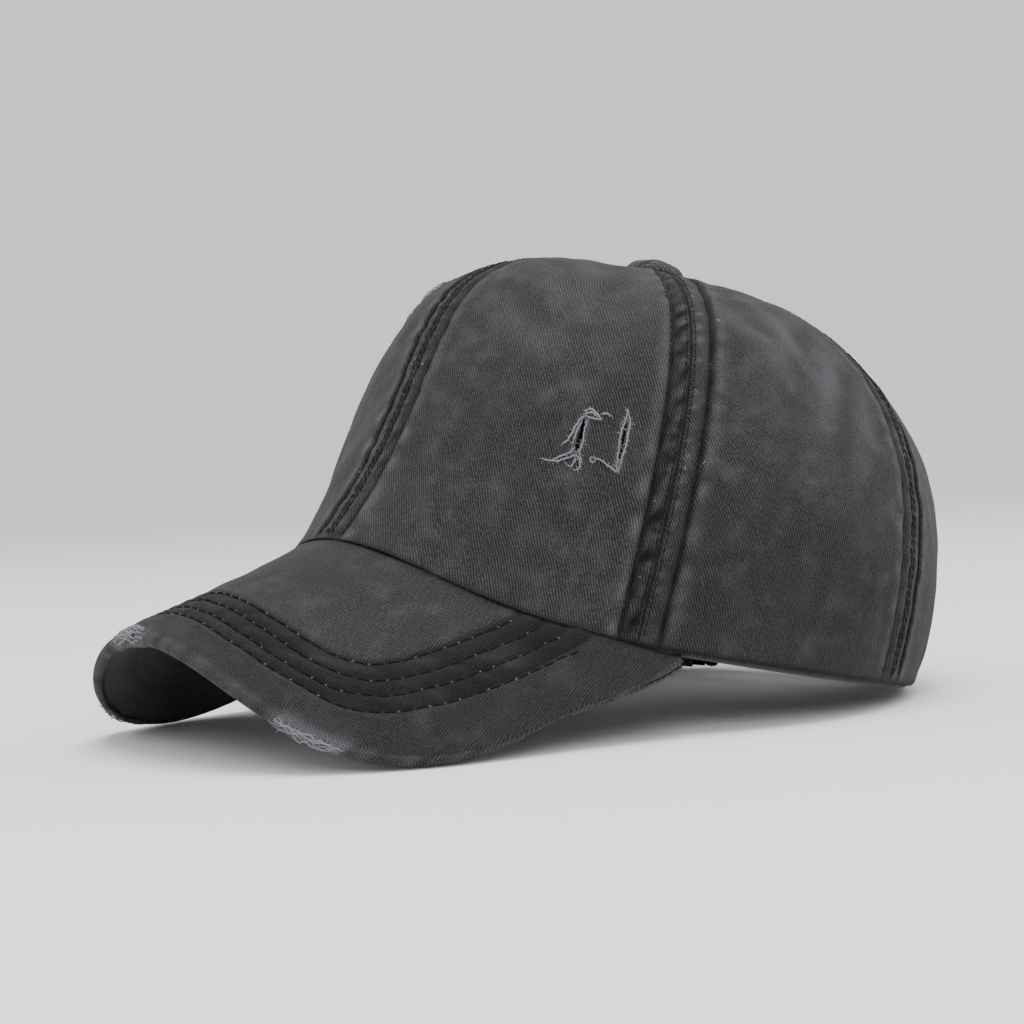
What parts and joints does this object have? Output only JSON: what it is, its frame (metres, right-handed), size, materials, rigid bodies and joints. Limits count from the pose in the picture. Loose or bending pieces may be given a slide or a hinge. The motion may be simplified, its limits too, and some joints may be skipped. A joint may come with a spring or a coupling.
{
  "type": "distressed ponytail baseball cap",
  "caption": "Washed cotton baseball cap with a curved brim, a frayed crown and an open back crossed by cloth straps.",
  "frame": {"origin": "centre of the bounding box in plan, on the surface the cap lies on", "axes": "front of the brim towards -Y, wearer's left towards +X, button up towards +Z"},
  "size_m": [0.1774, 0.2604, 0.1348],
  "materials": {
    "crown_twill": "washed charcoal cotton twill",
    "faded_twill": "charcoal twill worn paler on its folds",
    "olive_twill": "olive grey cotton twill",
    "dark_tape": "near-black woven tape"
  },
  "bodies": {
    "root": {"panel_front_left": "crown_twill", "panel_front_right": "crown_twill", "panel_side_left": "crown_twill", "panel_side_right": "crown_twill", "panel_back_left": "crown_twill", "panel_back_right": "crown_twill", "opening_binding_left": "faded_twill", "opening_binding_right": "faded_twill", "strap_lower": "crown_twill", "strap_middle": "crown_twill", "strap_upper": "crown_twill", "closure_strap": "crown_twill", "closure_understrap": "dark_tape", "brim_cover": "crown_twill", "brim_underside": "olive_twill", "sweatband": "olive_twill", "top_button": "faded_twill"}
  },
  "joints": []
}
